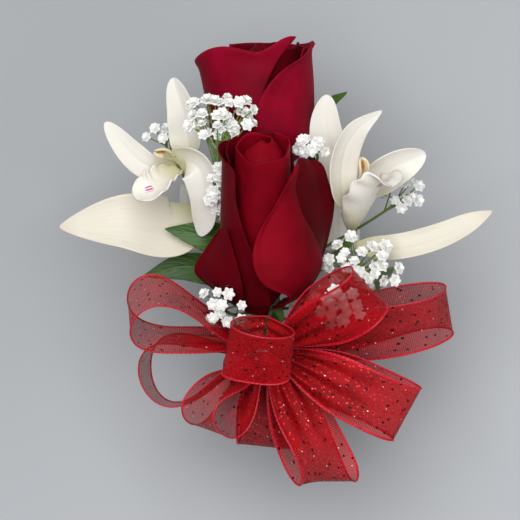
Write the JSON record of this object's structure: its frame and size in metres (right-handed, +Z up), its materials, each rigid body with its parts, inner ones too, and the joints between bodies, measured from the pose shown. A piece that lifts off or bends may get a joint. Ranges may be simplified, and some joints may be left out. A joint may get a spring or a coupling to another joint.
{
  "type": "wrist corsage",
  "caption": "Wrist corsage: roses, orchids, baby's breath, leaves and a sheer ribbon bow on taped stems, held by fold-over clip tabs on an elastic wristlet band.",
  "frame": {"origin": "centre of the flat underside of the wristlet band", "axes": "+Z up from the band through the flowers, towards the viewer of the flower side; +Y along the taped stems from the bow to the back rose; +X to the right as the flowers are seen"},
  "size_m": [0.1597, 0.1642, 0.1151],
  "materials": {
    "band_satin": "ruched satin elastic",
    "clip_steel": "plain sheet steel and wire",
    "stem_tape": "waxed florist tape",
    "green_stem": "fresh stem",
    "rose_petal": "velvety petal",
    "orchid_petal": "waxy petal",
    "orchid_lip": "waxy, marked in magenta",
    "green_leaf": "satin leaf",
    "floret_white": "matte petal",
    "bow_ribbon": "sheer organza with glitter dots"
  },
  "bodies": {
    "corsage": {"wristlet_band": "band_satin", "clip_plate": "clip_steel", "taped_stems": "stem_tape", "rose_front_calyx": "green_stem", "rose_front_heart": "rose_petal", "rose_front_petal_back": "rose_petal", "rose_front_petal_left": "rose_petal", "rose_front_petal_front": "rose_petal", "rose_front_petal_right": "rose_petal", "rose_front_petal_low": "rose_petal", "rose_back_calyx": "green_stem", "rose_back_heart": "rose_petal", "rose_back_petal_left": "rose_petal", "rose_back_petal_right": "rose_petal", "rose_back_petal_back": "rose_petal", "rose_front_stem": "green_stem", "rose_back_stem": "green_stem", "orchid_left_stalk": "green_stem", "orchid_right_stalk": "green_stem", "orchid_left_dorsal_sepal": "orchid_petal", "orchid_left_petal_left": "orchid_petal", "orchid_left_petal_right": "orchid_petal", "orchid_left_sepal_lower": "orchid_petal", "orchid_left_sepal_inner": "orchid_petal", "orchid_right_dorsal_sepal": "orchid_petal", "orchid_right_petal_left": "orchid_petal", "orchid_right_petal_right": "orchid_petal", "orchid_right_sepal_lower": "orchid_petal", "orchid_right_sepal_inner": "orchid_petal", "orchid_left_lip": "orchid_lip", "orchid_right_lip": "orchid_lip", "orchid_left_column": "orchid_lip", "orchid_right_column": "orchid_lip", "leaf_left_upper": "green_leaf", "leaf_left_lower": "green_leaf", "leaf_top_right": "green_leaf", "leaf_right": "green_leaf", "leaf_knot_tip": "green_leaf", "sprig_top": "floret_white", "sprig_right_top": "floret_white", "sprig_far_right": "floret_white", "sprig_right": "floret_white", "sprig_lower_left": "floret_white", "sprig_knot": "floret_white", "sprig_far_left": "floret_white", "bow_tie_wire": "clip_steel", "bow_waist": "bow_ribbon", "bow_loop_upper_left": "bow_ribbon", "bow_loop_left": "bow_ribbon", "bow_loop_lower_left": "bow_ribbon", "bow_loop_low": "bow_ribbon", "bow_loop_low_right": "bow_ribbon", "bow_loop_right": "bow_ribbon", "bow_loop_far_right": "bow_ribbon", "bow_loop_upper_right": "bow_ribbon", "bow_loop_centre": "bow_ribbon"},
    "clip_tab_left_upper": {"clip_tab_left_upper": "clip_steel"},
    "clip_tab_left_lower": {"clip_tab_left_lower": "clip_steel"},
    "clip_tab_right_upper": {"clip_tab_right_upper": "clip_steel"},
    "clip_tab_right_lower": {"clip_tab_right_lower": "clip_steel"}
  },
  "joints": [
    {"name": "fold_left_upper", "type": "hinge", "parent": "corsage", "child": "clip_tab_left_upper", "pos_m": [-0.0049, 0.004, 0.0507], "axis": [0, -1, 0], "range_deg": [0, 85]},
    {"name": "fold_left_lower", "type": "hinge", "parent": "corsage", "child": "clip_tab_left_lower", "pos_m": [-0.0049, -0.004, 0.0507], "axis": [0, -1, 0], "range_deg": [0, 85]},
    {"name": "fold_right_upper", "type": "hinge", "parent": "corsage", "child": "clip_tab_right_upper", "pos_m": [0.0049, 0.004, 0.0507], "axis": [0, 1, 0], "range_deg": [0, 85]},
    {"name": "fold_right_lower", "type": "hinge", "parent": "corsage", "child": "clip_tab_right_lower", "pos_m": [0.0049, -0.004, 0.0507], "axis": [0, 1, 0], "range_deg": [0, 85]}
  ]
}
